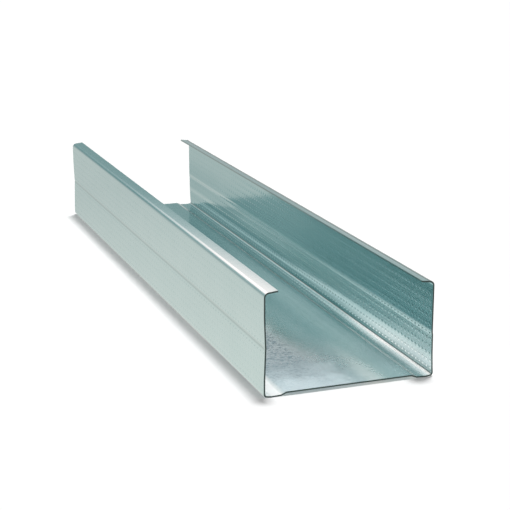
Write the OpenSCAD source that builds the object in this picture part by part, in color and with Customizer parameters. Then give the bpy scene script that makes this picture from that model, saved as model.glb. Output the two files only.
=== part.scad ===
// Drywall metal stud: a short length of light-gauge galvanised C-section, roll formed
// from one strip. One flange is taller than the other, so that two lengths nest into a box.
// It lies on the back of its web, with its open side up.
// Frame: +Y along the stud, +Z from the back of the web to the lips, X across the web.
// The origin is at the bottom centre of the whole piece.

/* [Section] */
// Width of the web, over the outer faces of both flanges
web_w = 63.5; // [50:0.5:150]
// Height of the taller flange, from the back of the corner strips to where its lip turns in
flange_long_h = 37; // [32:0.5:60]
// Height of the shorter flange, measured the same way
flange_short_h = 35; // [30:0.5:60]
// Width of each returned lip, from the outer face of its flange to its cut edge
lip_w = 5; // [3:0.1:12]
// Thickness of the zinc-coated sheet
sheet_t = 0.55; // [0.4:0.05:0.9]

/* [Length] */
// Length of the cut piece
stud_len = 280; // [60:0.5:3000]

/* [Bends] */
// Outer radius where each flange leaves the web
corner_r = 1.35; // [1:0.05:2.5]
// Outer radius where each lip returns from its flange
lip_r = 1.8; // [1:0.05:2.5]
// Angle that each lip is turned through from its flange, short of square by its spring-back
lip_turn = 84; // [80:0.5:90]

/* [Web stiffening] */
// Width of the strip beside each flange, from the flange's outer face to the step
strip_w = 6.3; // [5:0.1:12]
// Distance from the flange's outer face to the lowest line of the slightly dished strip
strip_low_x = 3.2; // [2.6:0.1:4]
// How much higher the strip stands at its step than along that lowest line
strip_dish = 0.15; // [0.04:0.01:0.25]
// How much the strip climbs from its lowest line to the corner of the flange
strip_toe = 0.22; // [0.04:0.01:0.3]
// How far the middle of the web is raised above the lowest line of the strips
web_rise = 0.95; // [0.5:0.05:2]
// Width of the slope from a strip up to the raised middle
step_run = 1.9; // [1:0.1:4]
// Radius of the two bends of that slope, on the sheet's centre-line
step_r = 0.9; // [0.7:0.1:1.3]

/* [Crease of the taller flange] */
// How far the taller flange is pressed inwards along its crease
crease_long_in = 0.4; // [0.1:0.05:1]
// Height of the crease of the taller flange, above the lowest line of the strips
crease_long_z = 17.6; // [12:0.1:20]
// Height at which the taller flange starts to lean in below its crease
foot_long_z = 6; // [4:0.5:9]
// Distance below the top of the taller flange at which it is plumb again
head_long_drop = 9; // [4:0.5:9]

/* [Crease of the shorter flange] */
// Height of the crease of the shorter flange, above which it is plumb
crease_short_z = 16.3; // [12:0.1:18]
// Height of the narrow band along that crease
crease_short_w = 1.1; // [0.8:0.1:1.5]
// How far the shorter flange steps in over that band
crease_short_step = 0.1; // [0.04:0.01:0.2]
// How far the shorter flange has leant in by the lower edge of that band
lean_short = 0.48; // [0.44:0.02:0.6]
// Height at which the lean of the shorter flange eases
foot_short_z = 8.3; // [6:0.1:9]
// How far the shorter flange has leant in at that height
foot_short_in = 0.33; // [0.2:0.01:0.36]

/* [Radii of the flanges] */
// Radius along the creases, on the sheet's centre-line
crease_r = 2; // [1:0.5:5]
// Radius where a flange starts and stops leaning in, on the sheet's centre-line
lean_r = 12; // [5:1:20]

/* [Hidden] */
half_t = sheet_t / 2;
facet_deg = 7.5; // each bend is drawn with one flat for this much of its angle

// How far in the shorter flange stands above its crease
short_top_in = lean_short + crease_short_step;

// Centre-lines of the two flanges between lip and corner, from the top down.
// Each vertex is [distance in from the flange's outer face, height, bend radius].
long_flange = [
    [half_t, flange_long_h - head_long_drop, lean_r],
    [half_t + crease_long_in, crease_long_z, crease_r],
    [half_t, foot_long_z, lean_r]
];
short_flange = [
    [half_t + short_top_in, crease_short_z, crease_r],
    [half_t + lean_short, crease_short_z - crease_short_w, crease_r],
    [half_t + foot_short_in, foot_short_z, lean_r]
];

// Lean of the shorter flange as it leaves its corner, as a gradient
lean_gradient = foot_short_in / (foot_short_z - half_t - strip_toe);

// Centre-line of one half of the section, from the lip's cut edge to the raised web.
// The corner is set out by as much as its bend, past plumb, would draw the flange in.
function half_line(flange_h, top_in, flange, gradient) = concat(
    [
        [lip_w + top_in, flange_h - half_t + (lip_w - half_t) * tan(90 - lip_turn), 0],
        [half_t + top_in, flange_h - half_t, lip_r - half_t]
    ],
    flange,
    [
        [half_t - (corner_r - half_t) * gradient, half_t + strip_toe, corner_r - half_t],
        [strip_low_x, half_t, lean_r],
        [strip_w, half_t + strip_dish, step_r],
        [strip_w + step_run, half_t + web_rise, step_r]
    ]
);

function backwards(list) = [for (i = [len(list) - 1 : -1 : 0]) list[i]];

// Centre-line of the whole section, from the edge of the long flange's lip, down, along
// the web and up to the edge of the short flange's lip
section_line = concat(
    [for (v = half_line(flange_long_h, 0, long_flange, 0)) [v.x - web_w / 2, v.y, v.z]],
    backwards([for (v = half_line(flange_short_h, short_top_in, short_flange, lean_gradient))
        [web_w / 2 - v.x, v.y, v.z]])
);

// Unit vector along a direction, and the one square to it on its left
function along(deg) = [cos(deg), sin(deg)];
function left_of(deg) = [-sin(deg), cos(deg)];

// Direction of travel from vertex i to the next one
function heading(line, i) = atan2(line[i + 1].y - line[i].y, line[i + 1].x - line[i].x);

// Signed angle that the sheet is bent through at vertex i, positive to the left
function bend_angle(line, i) =
    let (turn = heading(line, i) - heading(line, i - 1))
    turn > 180 ? turn - 360 : turn < -180 ? turn + 360 : turn;

// Points of the bend at vertex i, at a distance off to the left of the centre-line
function bend_points(line, i, off) =
    let (
        turn = bend_angle(line, i),
        start = heading(line, i - 1),
        r_mid = line[i].z,
        setback = r_mid * tan(abs(turn) / 2),
        centre = [line[i].x, line[i].y] - setback * along(start)
            + sign(turn) * r_mid * left_of(start),
        flats = ceil(abs(turn) / facet_deg)
    )
    [for (k = [0 : flats])
        centre + (off - sign(turn) * r_mid) * left_of(start + turn * k / flats)];

// One face of the sheet: the centre-line moved off to the left, with its bends rounded
function face_points(line, off) =
    let (last = len(line) - 1)
    concat(
        [[line[0].x, line[0].y] + off * left_of(heading(line, 0))],
        [for (i = [1 : last - 1]) for (p = bend_points(line, i, off)) p],
        [[line[last].x, line[last].y] + off * left_of(heading(line, last - 1))]
    );

// Section of a strip of even thickness, formed along a centre-line
module formed_strip(line) {
    polygon(concat(face_points(line, half_t), backwards(face_points(line, -half_t))));
}

module stud() {
    color([0.72, 0.79, 0.77])
        rotate([90, 0, 0])
            linear_extrude(height = stud_len, center = true)
                formed_strip(section_line);
}

stud();
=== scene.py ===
"""Looks of a drywall metal stud: roll-formed galvanised sheet with knurled flanges, lying on its web."""

import math

import bmesh
import bpy
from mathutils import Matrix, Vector


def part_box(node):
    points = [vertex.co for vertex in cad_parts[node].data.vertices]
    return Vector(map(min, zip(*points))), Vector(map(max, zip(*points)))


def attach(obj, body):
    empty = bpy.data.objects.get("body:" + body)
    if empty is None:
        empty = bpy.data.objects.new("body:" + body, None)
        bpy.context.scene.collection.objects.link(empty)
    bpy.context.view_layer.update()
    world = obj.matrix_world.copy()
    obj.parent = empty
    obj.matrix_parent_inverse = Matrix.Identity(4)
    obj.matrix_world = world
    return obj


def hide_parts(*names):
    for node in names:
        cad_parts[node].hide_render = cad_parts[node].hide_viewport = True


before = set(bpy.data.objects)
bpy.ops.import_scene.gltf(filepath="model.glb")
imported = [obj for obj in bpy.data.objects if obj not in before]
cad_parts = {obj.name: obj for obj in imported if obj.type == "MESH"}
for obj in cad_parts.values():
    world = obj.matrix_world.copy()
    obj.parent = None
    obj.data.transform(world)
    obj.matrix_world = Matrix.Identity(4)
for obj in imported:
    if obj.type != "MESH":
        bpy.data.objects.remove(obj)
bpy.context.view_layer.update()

MM = 0.001


def mm(*sizes):
    """Sizes in millimetres, as metres."""
    return [size * MM for size in sizes]


# ---- Section of the stud, on the centre-line of its sheet ----
stud_low, stud_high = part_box("stud")
HAIR = 0.02 * MM  # the modelled sheet stays this much inside the solid's width
WIDTH = stud_high.x - stud_low.x - 2 * HAIR
LENGTH = stud_high.y - stud_low.y
SHEET = 0.55 * MM
HALF = SHEET / 2
FLANGE_LONG = 37 * MM
FLANGE_SHORT = 35 * MM
LIP = 5 * MM
LIP_SPRING = math.radians(6)  # how far each lip is short of square to its flange
LIP_R = 1.8 * MM - HALF
CORNER_R = 1.15 * MM - HALF
STRIP = 6.3 * MM
STRIP_LOW = 2.7 * MM
STRIP_DISH = 0.15 * MM
STRIP_TOE = 0.34 * MM
RISE = 0.95 * MM
STEP_RUN = 1.9 * MM
STEP_R = 0.9 * MM
LEAN_R = 3 * MM
STEP_FLATS, LEAN_FLATS, CORNER_FLATS, LIP_FLATS = 3, 2, 10, 10  # how many flats round each bend
ROUND_PROFILE = 0.5
SMOOTH_ANGLE = math.radians(11.5)  # flats that meet at less than this are shaded as one surface

# ---- Leaning of the flanges: (height, how far in the flange stands there), in mm ----
LONG_LEAN = ((0, 0), (6, 0), (17.6, 0.4), (28, 0), (37, 0))
SHORT_LEAN = ((0.5, 0), (8.1, 0.36), (15.2, 0.44), (16.3, 0.58), (35, 0.58))
CREASE_LONG = 17.6 * MM
BAND_FOOT, CREASE_SHORT = 15.2 * MM, 16.3 * MM
FOOT_LEAN, FOOT_RUN = 0.33, 7.8  # how far the foot of the short flange leans in, over what height, in mm
CORNER_OUT = CORNER_R * FOOT_LEAN / FOOT_RUN  # sets that corner out, so that its bend touches the full width

# ---- Knurling of the flanges ----
ROW_PITCH = 2.75 * MM
COLUMNS = 101  # cells of a row along the stud
LOWEST_ROW = 1.6 * MM
LONG_ROWS_BELOW, LONG_ROWS_ABOVE = 5, 6
SHORT_ROWS_BELOW, SHORT_ROWS_ABOVE = 4, 5
ROW_REACH, BEAD_REACH = mm(0.3, 0.1)  # how near its row's height the middle of a cell lies
FLANGE_ZONE = 1.5 * MM  # cells this near the full width belong to a flange
DIMPLE_CORNERS = 8
DIMPLE_MARGIN = 0.66 * MM  # flat sheet left between a dimple and the edge of its cell
DIMPLE_CUT = 0.38 * MM  # how much is cut off each corner of a dimple's outline
DIMPLE_DEPTH = 0.17 * MM
OUTER_DEPTH = 0.16 * MM  # of the dimples in the long flange
GROOVE_HALF = 0.5 * MM  # half width of the pressed line along the long flange's crease
GROOVE_DEPTH = 0.1 * MM
BEAD_MARGIN = 0.2 * MM
BEAD_CUT = 0.25 * MM
BEAD_DEPTH = 0.16 * MM

NEAR = 0.01 * MM  # tolerance when edges and faces are picked by their place
MOSTLY = 0.9  # share of an edge's length that runs along the stud, for it to count as lengthwise


# ------------------------------------------------------------------ modelling helpers

def picked(kind, test):
    """Selects the edges or faces of the mesh in edit mode that pass a test, and nothing else."""
    bpy.ops.mesh.select_mode(type={"edges": "EDGE", "faces": "FACE"}[kind])
    bpy.ops.mesh.select_all(action="DESELECT")
    mesh = bpy.context.edit_object.data
    bm = bmesh.from_edit_mesh(mesh)
    for item in getattr(bm, kind):
        if test(item):
            item.select_set(True)
    bm.select_flush_mode()
    bmesh.update_edit_mesh(mesh)


def middle(edge):
    return (edge.verts[0].co + edge.verts[1].co) / 2


def runs_along(edge):
    """True for an edge that lies along the stud."""
    step = edge.verts[1].co - edge.verts[0].co
    return abs(step.y) > MOSTLY * step.length


def at(place):
    """Test for the edge along the stud that passes through a place (x, z) of the section."""
    def test(edge):
        m = middle(edge)
        return runs_along(edge) and abs(m.x - place[0]) < NEAR and abs(m.z - place[1]) < NEAR
    return test


# ------------------------------------------------------------------ section

def lean(z, knots):
    """How far in a flange stands at a height."""
    for (z_low, in_low), (z_high, in_high) in zip(knots, knots[1:]):
        if z <= z_high * MM:
            return (in_low + (z / MM - z_low) / (z_high - z_low) * (in_high - in_low)) * MM
    return knots[-1][1] * MM


def row_edges(middle_row, below, above):
    """Heights up a flange at which one row of knurling ends and the next begins."""
    return [middle_row + (k + 0.5) * ROW_PITCH for k in range(-below - 1, above + 1)]


def side_of_section(height, knots, stops, corner_out):
    """Places (distance in from the flange's outer face, height) from the web out to the lip's edge."""
    top = lean(height, knots)
    lip_reach = LIP - HALF
    return (
        [(STRIP, HALF + STRIP_DISH), (STRIP_LOW, HALF), (HALF - corner_out, HALF + STRIP_TOE)]
        + [(HALF + lean(z, knots), z) for z in sorted(stops)]
        + [(HALF + top, height - HALF), (LIP + top, height - HALF + lip_reach * math.tan(LIP_SPRING))]
    )


def turned(before, place, after):
    """Angle through which the section turns at a place."""
    a = Vector((place[0] - before[0], place[1] - before[1]))
    b = Vector((after[0] - place[0], after[1] - place[1]))
    return a.angle(b)


def round_bend(places, index, radius, flats):
    """Rounds the bend at one place of the section to a radius on the sheet's centre-line."""
    turn = turned(places[index - 1], places[index], places[index + 1])
    picked("edges", at(places[index]))
    bpy.ops.mesh.bevel(
        offset=radius * math.tan(turn / 2), offset_type="OFFSET",
        segments=flats, profile=ROUND_PROFILE, affect="EDGES",
    )


def form_side(side, places):
    """Pulls the edge of the raised web out along one side of the section, then rounds its bends."""
    step_top = (WIDTH / 2 - STRIP - STEP_RUN, HALF + RISE)
    path = [step_top] + [(WIDTH / 2 - x, z) for x, z in places]
    path = [(side * x, z) for x, z in path]
    for here, there in zip(path, path[1:]):
        picked("edges", at(here))
        bpy.ops.mesh.extrude_region_move(
            TRANSFORM_OT_translate={"value": (there[0] - here[0], 0, there[1] - here[1])})
    path = [(0, HALF + RISE)] + path
    bends = (
        (1, STEP_R, STEP_FLATS), (2, STEP_R, STEP_FLATS), (3, LEAN_R, LEAN_FLATS),
        (4, CORNER_R, CORNER_FLATS), (len(path) - 2, LIP_R, LIP_FLATS),
    )
    for index, radius, flats in bends:
        round_bend(path, index, radius, flats)


def dimple(side, rows, reach, margin, cut, depth):
    """Presses dimples inwards into a flange, one in each cell of its rows."""
    def in_row(face):
        c = face.calc_center_median()
        return side * c.x > WIDTH / 2 - FLANGE_ZONE and any(abs(c.z - row) < reach for row in rows)

    picked("faces", in_row)
    bpy.ops.mesh.inset(thickness=margin, use_individual=True, use_even_offset=True)
    bpy.ops.mesh.bevel(offset=cut, offset_type="OFFSET", affect="VERTICES", segments=1)
    picked("faces", lambda face: len(face.verts) == DIMPLE_CORNERS and in_row(face))
    bpy.ops.mesh.poke(offset=depth)


def press_groove():
    """Presses the fine line along the long flange's crease a little further in."""
    depth = HALF + lean(CREASE_LONG, LONG_LEAN)
    picked("edges", at((depth - WIDTH / 2, CREASE_LONG)))
    bpy.ops.transform.translate(value=(GROOVE_DEPTH, 0, 0))


def model_stud():
    """Models the stud's sheet from its web outwards, knurls its flanges and gives it its thickness."""
    long_edges = row_edges(CREASE_LONG - ROW_PITCH / 2, LONG_ROWS_BELOW - 1, LONG_ROWS_ABOVE)
    short_edges = row_edges(CREASE_SHORT, SHORT_ROWS_BELOW, SHORT_ROWS_ABOVE)
    groove = [CREASE_LONG - GROOVE_HALF, CREASE_LONG + GROOVE_HALF]
    long_stops = [LOWEST_ROW] + long_edges + groove
    short_stops = [LOWEST_ROW] + short_edges + [BAND_FOOT, CREASE_SHORT]
    raised = WIDTH - 2 * (STRIP + STEP_RUN)
    bpy.ops.mesh.primitive_plane_add(size=1, location=(0, 0, HALF + RISE))
    stud = bpy.context.object
    stud.name = stud.data.name = "galvanised_stud"
    stud.scale = (raised, LENGTH, 1)
    bpy.ops.object.transform_apply(location=True, rotation=True, scale=True)
    bpy.ops.object.mode_set(mode="EDIT")
    form_side(-1, side_of_section(FLANGE_LONG, LONG_LEAN, long_stops, 0))
    form_side(1, side_of_section(FLANGE_SHORT, SHORT_LEAN, short_stops, CORNER_OUT))

    picked("edges", runs_along)
    bpy.ops.mesh.subdivide(number_cuts=COLUMNS - 1)

    long_span = range(-LONG_ROWS_BELOW, LONG_ROWS_ABOVE)
    short_span = range(-SHORT_ROWS_BELOW, SHORT_ROWS_ABOVE + 1)
    long_rows = [CREASE_LONG + (k + 0.5) * ROW_PITCH for k in long_span]
    short_rows = [CREASE_SHORT + k * ROW_PITCH for k in short_span if k]
    long_rows.append((LOWEST_ROW + long_edges[0]) / 2)
    short_rows.append((LOWEST_ROW + short_edges[0]) / 2)
    dimple(-1, long_rows, ROW_REACH, DIMPLE_MARGIN, DIMPLE_CUT, OUTER_DEPTH)
    dimple(1, short_rows, ROW_REACH, DIMPLE_MARGIN, DIMPLE_CUT, DIMPLE_DEPTH)
    dimple(1, [(BAND_FOOT + CREASE_SHORT) / 2], BEAD_REACH, BEAD_MARGIN, BEAD_CUT, BEAD_DEPTH)
    press_groove()
    bpy.ops.object.mode_set(mode="OBJECT")

    stud.data.materials.append(galvanised_steel())
    stud.data.materials.append(sheared_edge())
    wall = stud.modifiers.new("wall", "SOLIDIFY")
    wall.thickness = SHEET
    wall.offset = 0
    wall.use_even_offset = True
    bpy.ops.object.modifier_apply(modifier=wall.name)

    bpy.ops.object.mode_set(mode="EDIT")
    picked("faces", lambda face: abs(face.calc_center_median().y) > LENGTH / 2 - NEAR)
    stud.active_material_index = 1
    bpy.ops.object.material_slot_assign()
    bpy.ops.object.mode_set(mode="OBJECT")
    bpy.ops.object.shade_smooth_by_angle(angle=SMOOTH_ANGLE)
    return stud


# ------------------------------------------------------------------ finishes

MIX_FACTOR, MIX_A, MIX_B, MIX_COLOUR = 0, 6, 7, 2  # sockets of a Mix node that is set to colour

ZINC_DARK = (0.56, 0.73, 0.73)
ZINC_PALE = (0.63, 0.785, 0.785)
ZINC_BLUE = (0.57, 0.74, 0.77)
ZINC_STREAK = (0.68, 0.82, 0.82)
FROST = (0.28, 0.41, 0.45)
FROST_PALE = (0.57, 0.73, 0.77)
FROST_SPECK = (0.17, 0.28, 0.32)
# Colours of painted light, not of the zinc: a painted shade line, a creamy painted highlight, painted shade
# and painted highlight
PAINTED_SHADE_LINE = (0.27, 0.34, 0.33)
PAINTED_CREAM = (0.90, 0.88, 0.80)
PAINTED_SHADE = (0.27, 0.48, 0.50)
PAINTED_HIGHLIGHT = (0.86, 0.95, 0.95)

# Patterns in the zinc: scale, detail, stretch across, along and up the stud, and roughness
GRAIN = (420, 2, (1, 1, 1), 0.5)
CLOUD = (70, 3, (1, 1, 1), 0.5)
BLUE_CLOUD = (95, 2, (1, 0.6, 1), 0.5)
STREAK = (300, 4, (1, 0.012, 1), 0.5)
WAVE = (24, 1, (1, 0.3, 1), 0.5)
PATCH = (150, 4, (1, 0.7, 1), 0.6)
SPECK = (1000, 4, (1, 1, 1), 0.65)
SPECK_RANGE = (0.46, 0.6)  # of the pattern, from no speck to a full one
EVEN = 0.5  # middle of a pattern's range
BLUE_SHARE, STREAK_SHARE = 0.25, 0.22

# Areas of the sheet: axis, where on it the area starts, where it is full, and for an area on both
# sides of a line, where that line is. In mm. The near end is the one at the lowest y.
AREAS = {
    "web": (("x", 31.6, 31.4, 0), ("z", 3, 2.2)),
    "left": (("x", 16, -6),),
    "right": (("x", 16, 19),),
    "dusk": (("x", 0, -10), ("y", -66, -88)),
    "shine": (("x", 15, 9),),
    "near shine": (("y", -20, -80),),
    "shade": (("x", 11, 16), ("y", -115, -65)),
    "cream_highlight": (("x", 8, 0, 10.5), ("y", -84, -138)),
    "corner": (("x", -23.5, -25.5), ("x", -31.4, -31)),
    "short flange": (("x", 29.6, 30.2),),
    "upper": (("z", 16.4, 17.4),),
    "just above crease": (("z", 29, 18),),
    "near upper": (("y", 20, -80),),
    "band": (("x", 29.6, 30.2), ("z", 9, 7)),
    "band in painted shade": (("y", -40, 20), ("z", 1, 4)),
    "band in painted highlight": (("y", -50, -100), ("z", 7, 5)),
    "far foot": (("x", 29.6, 30.2), ("y", 45, 90), ("z", 8, 11), ("z", 16, 14.5)),
    "root": (("x", 30.7, 31), ("z", 1.5, 1.2)),
    "crease": (("x", -30.4, -30.9), ("z", 1.1, 0.2, 17.6)),
    "near short lip": (("x", 25, 25.5), ("y", 10, -80), ("z", 34, 34.4)),
    "bend of short lip": (("x", 28.5, 29), ("z", 34, 34.4)),
    "edge of short lip": (("x", 25, 25.5), ("x", 26.7, 26.3), ("z", 34, 34.4)),
    "near step": (("x", 1.4, 0.8, 24.5), ("y", -60, -120), ("z", 2, 1.7)),
    "near long lip": (("y", -30, -115), ("z", 36.1, 36.5)),
    "far long lip": (("y", -50, 30), ("z", 36.1, 36.5)),
    "flare": (("y", -140, 10),),
    "near band": (("y", 10, -110),),
    "near toe": (("y", 0, -110), ("z", 3, 2)),
}

# Painted light laid over the zinc last, in this order: painted highlights and painted shade that set how dark
# or bright each area of the sheet looks in this light, and stand for no coating of its own: areas, strength
# and colour.
TINTS = (
    # creamy painted highlight on the web, and painted highlight on the strip by the long flange
    (("web", "cream_highlight"), 0.3, PAINTED_CREAM),
    (("web", "corner"), 0.8, PAINTED_HIGHLIGHT),
    # painted shade on the short flange's lower band and far foot, painted highlight on that band near the
    # near end
    (("band", "band in painted shade"), 0.6, PAINTED_SHADE),
    (("far foot",), 0.6, PAINTED_SHADE),
    (("band", "band in painted highlight"), 1, PAINTED_HIGHLIGHT),
    # painted shade lines at the short flange's root and along the long flange's crease
    (("root",), 0.75, PAINTED_SHADE_LINE),
    (("crease",), 0.28, PAINTED_SHADE_LINE),
    # painted highlight along the short lip near the near end, painted shade at its bend and its free edge
    (("near short lip",), 1, PAINTED_HIGHLIGHT),
    (("bend of short lip",), 0.8, PAINTED_SHADE_LINE),
    (("edge of short lip",), 0.8, PAINTED_SHADE_LINE),
    # painted highlight at the step and along the long lip near the near end, painted shade on the long lip
    # further off
    (("near step",), 0.6, PAINTED_HIGHLIGHT),
    (("near long lip",), 1, PAINTED_HIGHLIGHT),
    (("far long lip",), 0.6, PAINTED_SHADE),
)

# Frosty oxide on the web, by the near end
FROST_REACH, PALE_REACH = mm(-78, -138), mm(-112, -138)
FROST_WANDER, PALE_WANDER = mm(20, 30)  # how far the borders of the frost wander
FROST_ALL, FROST_LEFT, FROST_RIGHT = 0.3, 0.7, 0.2
DUSK_PLAIN, DUSK_SPECKS, DUSK_FADE = 0.5, 0.5, 0.75
# Strengths of the painted highlight and the painted shade on the web
SHINE_ALL, SHINE_NEAR = 0.4, 0.4
SHADE_ALL = 0.5
# Strength of the painted shade on the short flange above its crease: everywhere, added lower down, added
# towards the near end
UPPER_ALL, UPPER_LOW, UPPER_NEAR = 0.35, 0.3, 0.35

# Roughness of the zinc, what the patterns, the frost and the streak under the creamy painted highlight add to
# it, and how far the frost and that streak dull the metal
ZINC_ROUGHNESS = 0.11
GRAIN_ROUGHNESS, STREAK_ROUGHNESS = 0.06, 0.05
FROST_ROUGHNESS, CREAM_HIGHLIGHT_ROUGHNESS = 0.21, 0.07
SPECK_ROUGHNESS, LEFT_SPECK_ROUGHNESS = 0.03, 0.06
FROST_DULLING, CREAM_HIGHLIGHT_DULLING = 0.1, 0.3

# Slight tilts of the surface on the short flange and the strip beside it, as gradients, and their limits
BAND_TILT = 0.065
SHOULDER_TILT = -0.01
TOE_TILT = 0.065
FAR_TILT = -0.10
FLARE_TOP, FOOT_TOP, TOE_START = mm(17, 8.3, 28.3)
BAND_CURVE = 24 * MM
RELIEF = 0.12 * MM
WAVE_RELIEF, GRAIN_RELIEF, STREAK_RELIEF = 0.8, 0.05, 0.03


class Value:
    """An output socket. Arithmetic on it adds Math nodes, so shader maths reads as an expression."""

    def __init__(self, finish, socket):
        self.finish = finish
        self.socket = socket

    def maths(self, operation, *inputs):
        return self.finish.node("Math", {"operation": operation}, dict(enumerate(inputs)))

    def __add__(self, other):
        return self.maths("ADD", self, other)

    def __abs__(self):
        return self.maths("ABSOLUTE", self)

    def __sub__(self, other):
        return self.maths("SUBTRACT", self, other)

    def __rsub__(self, other):
        return self.maths("SUBTRACT", other, self)

    def __mul__(self, other):
        return self.maths("MULTIPLY", self, other)

    __radd__ = __add__
    __rmul__ = __mul__


class Finish:
    """The node tree of a material or of the world, with one method that adds a node."""

    def __init__(self, owner):
        owner.use_nodes = True
        self.owner = owner
        self.tree = owner.node_tree
        self.tree.nodes.clear()

    def node(self, kind, settings=None, sockets=None, output=0):
        made = self.tree.nodes.new("ShaderNode" + kind)
        for name, value in (settings or {}).items():
            if name == "stops":
                self.set_stops(made.color_ramp, value)
            else:
                setattr(made, name, value)
        for name, value in (sockets or {}).items():
            if isinstance(value, Value):
                self.tree.links.new(value.socket, made.inputs[name])
            else:
                made.inputs[name].default_value = value
        return Value(self, made.outputs[output]) if len(made.outputs) else made

    @staticmethod
    def set_stops(ramp, stops):
        while len(ramp.elements) < len(stops):
            ramp.elements.new(0.5)
        for element, (place, colour) in zip(ramp.elements, stops):
            element.position = place
            element.color = (*colour, 1)

    def mix(self, factor, a, b):
        def colour(c):
            return c if isinstance(c, Value) else (*c, 1)
        return self.node("Mix", {"data_type": "RGBA"},
                         {MIX_FACTOR: factor, MIX_A: colour(a), MIX_B: colour(b)}, MIX_COLOUR)

    def place(self):
        """The place on the piece, in metres along its own axes."""
        return self.node("TexCoord", None, None, "Object")

    def noise(self, scale, detail, stretch, roughness):
        stretched = self.node("Mapping", {"vector_type": "POINT"}, {"Vector": self.place(), "Scale": stretch})
        return self.node("TexNoise", None, {
            "Vector": stretched, "Scale": scale, "Detail": detail, "Roughness": roughness}, "Fac")

    def ramp(self, value, start, end):
        """0 before the start, 1 past the end, smooth between. The start may be the higher one."""
        return self.node("MapRange", {"interpolation_type": "SMOOTHSTEP"},
                         {"Value": value, "From Min": start, "From Max": end})

    def show(self, shader):
        self.node("OutputMaterial", None, {"Surface": shader})


def lower(value, limit):
    """The value, or the limit where the value is higher."""
    return value.maths("MINIMUM", value, limit)


def beyond(value, limit):
    """How far the value is past the limit, and 0 where it is not."""
    return value.maths("MAXIMUM", value, limit) - limit


def galvanised_steel():
    """Zinc-coated sheet: faint spangle, streaks along the rolling direction, frosty oxide near one end, and
    painted highlights and painted shade laid over it by place.
    """
    f = Finish(bpy.data.materials.new("galvanised_steel"))
    along = {axis.lower(): f.node("SeparateXYZ", None, {"Vector": f.place()}, axis) for axis in "XYZ"}
    x, y, z = along.values()

    def area(*names):
        """1 inside all the named areas, 0 outside, soft between."""
        inside = None
        for axis, start, full, *line in [row for name in names for row in AREAS[name]]:
            distance = abs(along[axis] - line[0] * MM) if line else along[axis]
            share = f.ramp(distance, start * MM, full * MM)
            inside = share if inside is None else inside * share
        return inside

    grain, cloud, blue, streak, wave, patch = [
        f.noise(*pattern) for pattern in (GRAIN, CLOUD, BLUE_CLOUD, STREAK, WAVE, PATCH)]
    specks = f.ramp(f.noise(*SPECK), *SPECK_RANGE)
    # the third area is where a creamy painted highlight lies on the web, over rougher, less metallic zinc
    web, left, cream_highlight = area("web"), area("left"), area("web", "cream_highlight")

    colour = f.mix(cloud, ZINC_DARK, ZINC_PALE)
    colour = f.mix(blue * BLUE_SHARE, colour, ZINC_BLUE)
    colour = f.mix(streak * STREAK_SHARE, colour, ZINC_STREAK)
    # Painted highlight on the web left of x 9 mm, stronger towards the near end, and painted shade on the web
    # right of x 16 mm, fading out towards the near end
    shine = area("web", "shine") * (SHINE_ALL + SHINE_NEAR * area("near shine"))
    colour = f.mix(shine, colour, PAINTED_HIGHLIGHT)
    colour = f.mix(area("web", "shade") * SHADE_ALL, colour, PAINTED_SHADE)

    # Frosty oxide on the web by the near end, paler by the cut, with dusky specks further in
    reach = f.ramp(y + (patch - EVEN) * FROST_WANDER, *FROST_REACH)
    pale = f.ramp(y + (patch - EVEN) * PALE_WANDER, *PALE_REACH)
    frost = web * reach * (FROST_ALL + FROST_LEFT * left + FROST_RIGHT * area("right"))
    colour = f.mix(frost, colour, f.mix(pale, FROST, FROST_PALE))
    dusk = area("web", "dusk") * (DUSK_PLAIN + DUSK_SPECKS * specks) * (1 - pale * DUSK_FADE)
    colour = f.mix(dusk, colour, FROST_SPECK)

    # Painted shade on the short flange above its crease, stronger lower down and towards the near end, then
    # the other painted light
    upper = UPPER_ALL + UPPER_LOW * area("just above crease") + UPPER_NEAR * area("near upper")
    colour = f.mix(area("short flange", "upper") * upper, colour, PAINTED_SHADE)
    for names, strength, tone in TINTS:
        colour = f.mix(area(*names) * strength, colour, tone)

    roughness = ZINC_ROUGHNESS + grain * GRAIN_ROUGHNESS + (streak - EVEN) * STREAK_ROUGHNESS
    roughness = roughness + frost * FROST_ROUGHNESS + cream_highlight * CREAM_HIGHLIGHT_ROUGHNESS
    roughness = roughness + web * reach * specks * (SPECK_ROUGHNESS + LEFT_SPECK_ROUGHNESS * left)
    metallic = 1 - frost * FROST_DULLING - cream_highlight * CREAM_HIGHLIGHT_DULLING

    # Faint waves of the sheet, and tilts that stand for a slight flare of the short flange
    foot = lower(z, FOOT_TOP)
    flare = area("flare") * FAR_TILT * lower(z, FLARE_TOP)
    band = foot * (1 - foot * (1 / BAND_CURVE)) * area("near band") * BAND_TILT
    shoulder = (lower(z, BAND_FOOT) - foot) * SHOULDER_TILT
    toe = beyond(x, TOE_START) * area("near toe") * TOE_TILT
    relief = (wave * WAVE_RELIEF + grain * GRAIN_RELIEF + streak * STREAK_RELIEF) * RELIEF
    height = relief + toe + area("short flange") * (flare + band + shoulder)
    normal = f.node("Bump", None, {"Height": height, "Strength": 1.0, "Distance": 1.0}, "Normal")
    f.show(f.node("BsdfPrincipled", None, {
        "Base Color": colour, "Metallic": metallic, "Roughness": roughness, "Normal": normal}))
    return f.owner


EDGE_DARK, EDGE_PALE = (0.035, 0.062, 0.06), (0.085, 0.125, 0.12)
EDGE_METALLIC = 0.6
EDGE_ROUGHNESS, MARK_ROUGHNESS = 0.45, 0.15
SHEAR_MARKS = (3000, 2, (1, 1, 1), 0.5)


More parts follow.
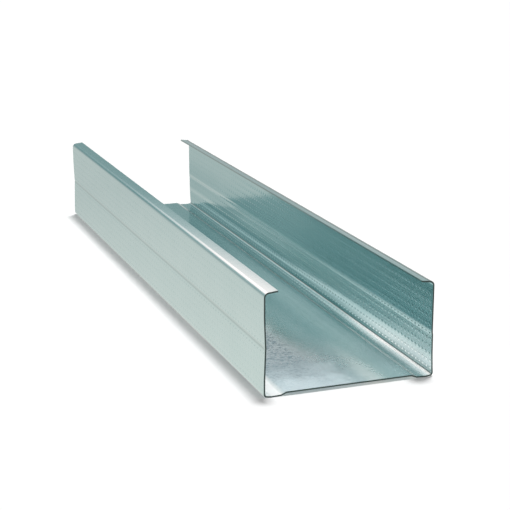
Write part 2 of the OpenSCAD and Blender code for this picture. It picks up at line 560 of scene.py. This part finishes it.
def sheared_edge():
    """Bare steel where the sheet was cut: darker, with fine marks of the shear."""
    f = Finish(bpy.data.materials.new("sheared_edge"))
    marks = f.noise(*SHEAR_MARKS)
    f.show(f.node("BsdfPrincipled", None, {
        "Base Color": f.mix(marks, EDGE_DARK, EDGE_PALE), "Metallic": EDGE_METALLIC,
        "Roughness": EDGE_ROUGHNESS + marks * MARK_ROUGHNESS}))
    return f.owner


# ------------------------------------------------------------------ the stud

bpy.ops.object.select_all(action="DESELECT")
stud = model_stud()
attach(stud, "root")
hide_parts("stud")

# ------------------------------------------------------------------ floor, light and camera

WHITE = (1, 1, 1, 1)
FLOOR_SIZE = 8  # metres
FLOOR_WHITE = (0.9, 0.9, 0.9)
FLOOR_NEAR_Y, FLOOR_FAR_Y = -120 * MM, 190 * MM
FLOOR_NEAR = (0.84, 0.82, 0.78)  # the floor as it appears in the metal, beside the near end
FLOOR_FAR = (0.62, 0.64, 0.62)  # the same beyond the far end
PLAIN_LIGHT = 0.3  # of the world on the floor and other dull surfaces
LIFT_SEEN = 0.09  # glow of the floor towards the camera

# Key light: nearly overhead, a little from the right, so that the shadow falls close by on the left
SUN_LIGHT = 2.35
SUN_SPREAD = math.radians(9)
SUN_DIRECTION = Vector((0.11, 0.13, 1))

AIM = Vector((15.48, -2.72, 10.29)) * MM
AZIMUTH, ELEVATION = math.radians(-20.13), math.radians(15.35)
DISTANCE = 602.5 * MM
FOCAL_LENGTH, SENSOR_WIDTH = 97.63, 36
CLIP_START = 10 * MM

# Studio as the metal sees it, graded and brighter than white from 22 to 50 degrees up: height above
# the horizon in degrees, and the colour there
STUDIO = (
    (0, (0.47, 0.50, 0.50)),
    (8, (0.44, 0.48, 0.48)),
    (10.5, (0.29, 0.41, 0.41)),
    (15, (0.29, 0.41, 0.41)),
    (17, (0.34, 0.46, 0.46)),
    (18.5, (0.42, 0.52, 0.53)),
    (19.3, (0.51, 0.58, 0.59)),
    (20.2, (0.71, 0.72, 0.72)),
    (21.2, (0.95, 0.89, 0.88)),
    (22.5, (1.15, 1.03, 1.01)),
    (25, (1.4, 1.18, 1.16)),
    (50, (1.4, 1.20, 1.18)),
    (75, (0.9, 0.88, 0.87)),
)
STUDIO_STRENGTH = 1.4


def light_path(f, *names):
    """1 for the kinds of ray that are named, 0 for the others."""
    outputs = f.node("LightPath").socket.node.outputs
    rays = [Value(f, outputs[name]) for name in names]
    found = rays[0]
    for ray in rays[1:]:
        found = found.maths("MAXIMUM", found, ray)
    return found


def white_floor():
    """Plain white floor that keeps the stud's shadow. In the metal it shows plain, dimmer further away."""
    f = Finish(bpy.data.materials.new("white_floor"))
    y = f.node("SeparateXYZ", None, {"Vector": f.place()}, "Y")
    paint = f.node("BsdfDiffuse", None, {"Color": (*FLOOR_WHITE, 1)})
    glow = light_path(f, "Is Camera Ray") * LIFT_SEEN
    lift = f.node("Emission", None, {"Color": WHITE, "Strength": glow})
    seen = f.node("AddShader", None, {0: paint, 1: lift})
    distance = f.node("MapRange", None, {"Value": y, "From Min": FLOOR_NEAR_Y, "From Max": FLOOR_FAR_Y})
    mirrored = f.node("Emission", None, {"Color": f.mix(distance, FLOOR_NEAR, FLOOR_FAR), "Strength": 1.0})
    reflected = light_path(f, "Is Glossy Ray", "Is Transmission Ray")
    f.show(f.node("MixShader", None, {0: reflected, 1: seen, 2: mirrored}))
    return f.owner


def studio_light():
    """Plain white backdrop and plain light on dull surfaces. The metal reflects the graded studio."""
    world = bpy.data.worlds.new("studio")
    f = Finish(world)
    direction = f.node("TexCoord", None, None, "Generated")
    height = f.node("SeparateXYZ", None, {"Vector": direction}, "Z")
    stops = []
    for degrees, colour in STUDIO:
        stops.append((math.sin(math.radians(degrees)), [part / STUDIO_STRENGTH for part in colour]))
    studio = f.node("ValToRGB", {"stops": stops}, {"Fac": height})
    plain = f.node("Background", None, {"Color": WHITE, "Strength": PLAIN_LIGHT})
    white = f.node("Background", None, {"Color": WHITE, "Strength": 1.0})
    mirrored = f.node("Background", None, {"Color": studio, "Strength": STUDIO_STRENGTH})
    backdrop = f.node("MixShader", None, {0: light_path(f, "Is Camera Ray"), 1: plain, 2: white})
    reflected = light_path(f, "Is Glossy Ray", "Is Transmission Ray")
    shown = f.node("MixShader", None, {0: reflected, 1: backdrop, 2: mirrored})
    f.node("OutputWorld", None, {"Surface": shown})
    return world


def placed(name, data, back):
    """Adds a lamp or camera that looks against a direction."""
    thing = bpy.data.objects.new(name, data)
    thing.rotation_mode = "QUATERNION"
    thing.rotation_quaternion = back.to_track_quat("Z", "Y")
    bpy.context.scene.collection.objects.link(thing)
    return thing


underside = min(corner[2] for corner in stud.bound_box)
bpy.ops.mesh.primitive_plane_add(size=FLOOR_SIZE, location=(0, 0, underside))
floor = bpy.context.object
floor.name = "floor"
floor.data.materials.append(white_floor())

bpy.context.scene.world = studio_light()

sun = bpy.data.lights.new("key", "SUN")
sun.energy = SUN_LIGHT
sun.angle = SUN_SPREAD
placed("key", sun, SUN_DIRECTION)

back = Vector((
    math.sin(AZIMUTH) * math.cos(ELEVATION),
    -math.cos(AZIMUTH) * math.cos(ELEVATION),
    math.sin(ELEVATION),
))
lens = bpy.data.cameras.new("camera")
lens.lens = FOCAL_LENGTH
lens.sensor_width = SENSOR_WIDTH
lens.clip_start = CLIP_START
camera = placed("camera", lens, back)
camera.location = AIM + back * DISTANCE
bpy.context.scene.camera = camera
bpy.context.scene.view_settings.view_transform = "Standard"
